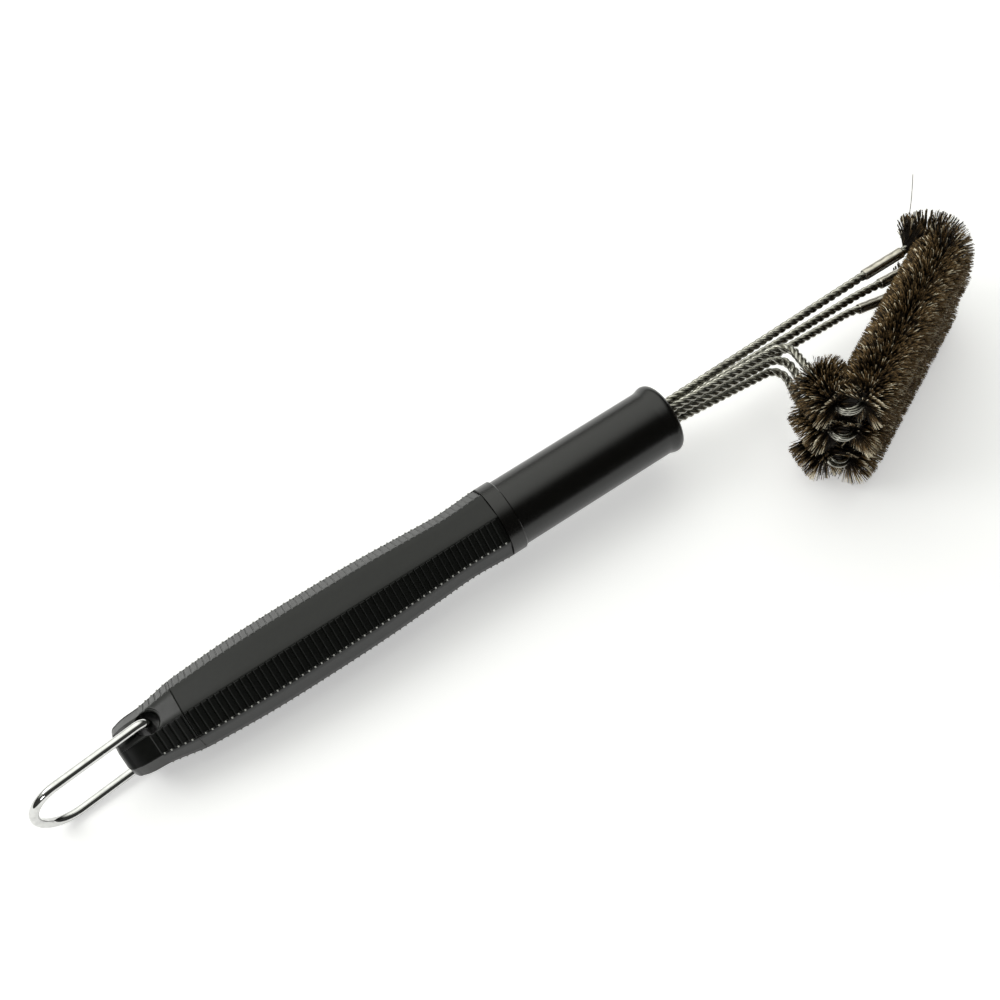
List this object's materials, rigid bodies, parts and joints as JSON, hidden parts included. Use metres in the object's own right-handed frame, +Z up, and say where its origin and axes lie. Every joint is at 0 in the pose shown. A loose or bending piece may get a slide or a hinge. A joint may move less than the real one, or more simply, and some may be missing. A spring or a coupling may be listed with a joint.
{
  "type": "grill cleaning brush",
  "caption": "Long-handled grill cleaning brush with a triangular head of bristled twisted-wire loops and a swinging hanging loop.",
  "frame": {"origin": "on the surface the brush lies on, below the middle of its bounding box", "axes": "+Z up from the surface; +X along the brush from the hanging loop to the head; the bristles face -Y"},
  "size_m": [0.4648, 0.0874, 0.0706],
  "materials": {
    "grip_plastic": "satin",
    "tube_plastic": "satin",
    "inner_plastic": "matte",
    "chrome_wire": "polished",
    "twisted_wire": "satin",
    "sleeve_steel": "satin",
    "bristles": "satin"
  },
  "bodies": {
    "brush": {"end_cap": "grip_plastic", "grip": "grip_plastic", "grip_collar": "tube_plastic", "ferrule_tube": "tube_plastic", "core_tube": "inner_plastic", "wire_anchor": "inner_plastic", "straight_shaft_left": "twisted_wire", "brush_wire_left": "twisted_wire", "crimp_sleeve_left": "sleeve_steel", "bristle_row_left": "bristles", "bristle_heel_left": "bristles", "bristle_toe_left": "bristles", "straight_shaft_middle": "twisted_wire", "brush_wire_middle": "twisted_wire", "crimp_sleeve_middle": "sleeve_steel", "bristle_row_middle": "bristles", "bristle_heel_middle": "bristles", "bristle_toe_middle": "bristles", "straight_shaft_right": "twisted_wire", "brush_wire_right": "twisted_wire", "crimp_sleeve_right": "sleeve_steel", "bristle_row_right": "bristles", "bristle_heel_right": "bristles", "bristle_toe_right": "bristles"},
    "loop": {"hanging_loop": "chrome_wire"}
  },
  "joints": [
    {"name": "hanging_loop_swing", "type": "hinge", "parent": "brush", "child": "loop", "pos_m": [-0.17664, 0.02706, 0.01767], "axis": [0.0419, -0.0875, -0.9953], "range_deg": [-100, 110]}
  ]
}
